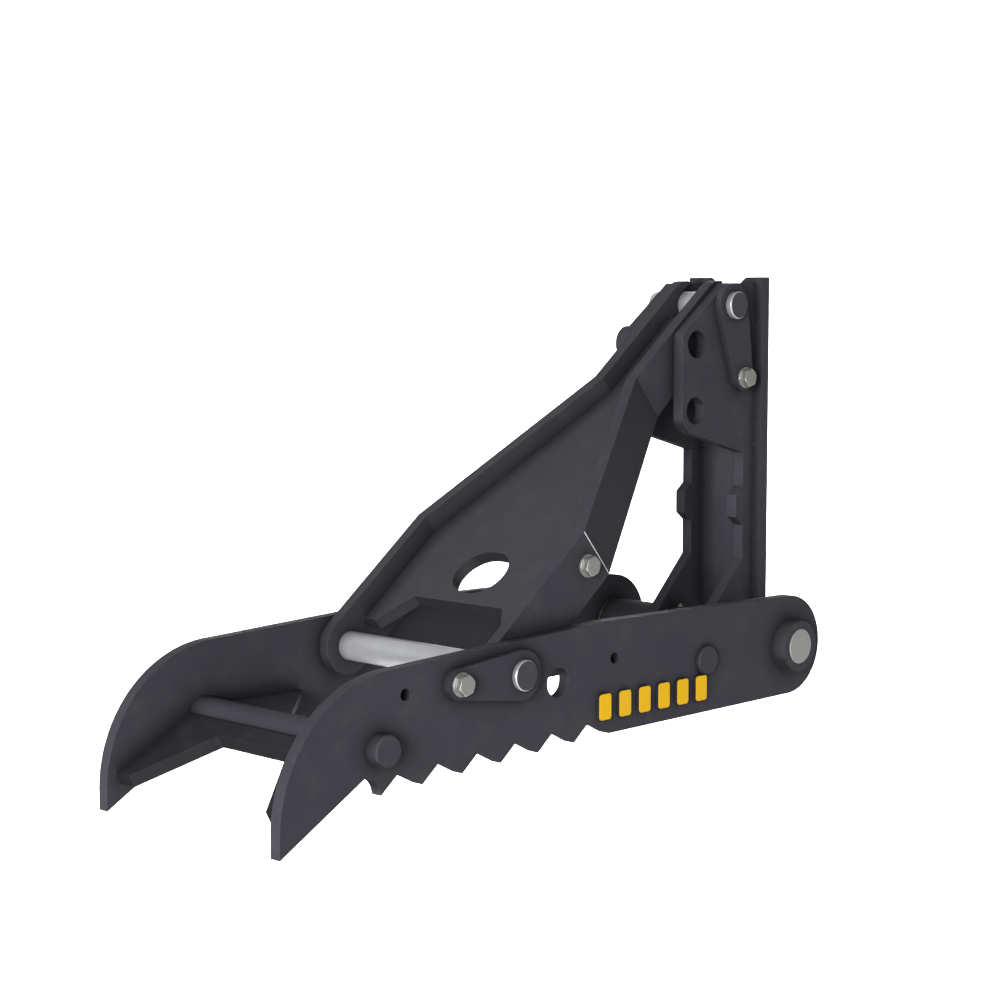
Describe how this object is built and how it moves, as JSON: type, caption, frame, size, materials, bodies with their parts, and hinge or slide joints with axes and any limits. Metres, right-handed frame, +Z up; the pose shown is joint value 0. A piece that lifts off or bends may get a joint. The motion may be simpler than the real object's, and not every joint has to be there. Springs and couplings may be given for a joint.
{
  "type": "excavator thumb",
  "caption": "Weld-on mechanical excavator thumb: toothed tines on a main pin, held by a bent brace pinned between the base's ears, with set positions for gripping against a bucket.",
  "frame": {"origin": "centre of the welding pad's flat face, which lies on the underside of the excavator's stick", "axes": "+X out of the pad into the stick, +Z up along the pad, towards the machine; the tines point along -X"},
  "size_m": [1.153, 0.4505, 0.752],
  "materials": {
    "paint": "satin charcoal powder coat",
    "pin_steel": "turned and ground",
    "zinc": "zinc plated",
    "bronze": "machined bearing bronze"
  },
  "bodies": {
    "base": {"base_plate": "paint", "ear_left": "paint", "ear_right": "paint", "pivot_tube": "paint", "bushing_left": "bronze", "bushing_right": "bronze", "thrust_washer_left": "bronze", "thrust_washer_right": "bronze", "grease_nipple": "zinc", "ear_nut": "paint", "ear_collar": "paint"},
    "tine": {"tine_left": "paint", "tine_right": "paint", "front_rod": "paint", "rear_rod": "paint", "front_plate": "paint", "gusset_left": "paint", "gusset_right": "paint", "collar_left": "paint", "collar_right": "paint", "main_pin": "pin_steel", "cross_bolt": "zinc", "cross_nut": "zinc", "tine_nut_front": "paint", "tine_nut_middle": "paint", "tine_nut_rear": "paint"},
    "brace": {"brace_side_left": "paint", "brace_side_right": "paint", "brace_web": "paint", "brace_bolt": "zinc", "brace_washer": "zinc"},
    "upper_pin_set": {"upper_pin": "pin_steel", "upper_flag": "paint", "upper_flag_bolt": "zinc", "upper_flag_washer": "zinc"},
    "lower_pin_set": {"lower_pin": "pin_steel", "lower_flag": "paint", "lower_flag_bolt": "zinc", "lower_flag_washer": "zinc"}
  },
  "joints": [
    {"name": "thumb_swing", "type": "hinge", "parent": "base", "child": "tine", "pos_m": [-0.096, 0, -0.3085], "axis": [0, -1, 0], "range_deg": [0, 29.5]},
    {"name": "brace_fold", "type": "hinge", "parent": "tine", "child": "brace", "pos_m": [-0.7205, 0, -0.2795], "axis": [0, -1, 0], "range_deg": [-12.8, 0]},
    {"name": "upper_pin_pull", "type": "slide", "parent": "base", "child": "upper_pin_set", "axis": [0, -1, 0], "range_m": [0, 0.17]},
    {"name": "lower_pin_pull", "type": "slide", "parent": "tine", "child": "lower_pin_set", "axis": [0, -1, 0], "range_m": [0, 0.43]}
  ],
  "couplings": [
    {"joint": "brace_fold", "follows": "thumb_swing", "ratio": -0.43}
  ]
}
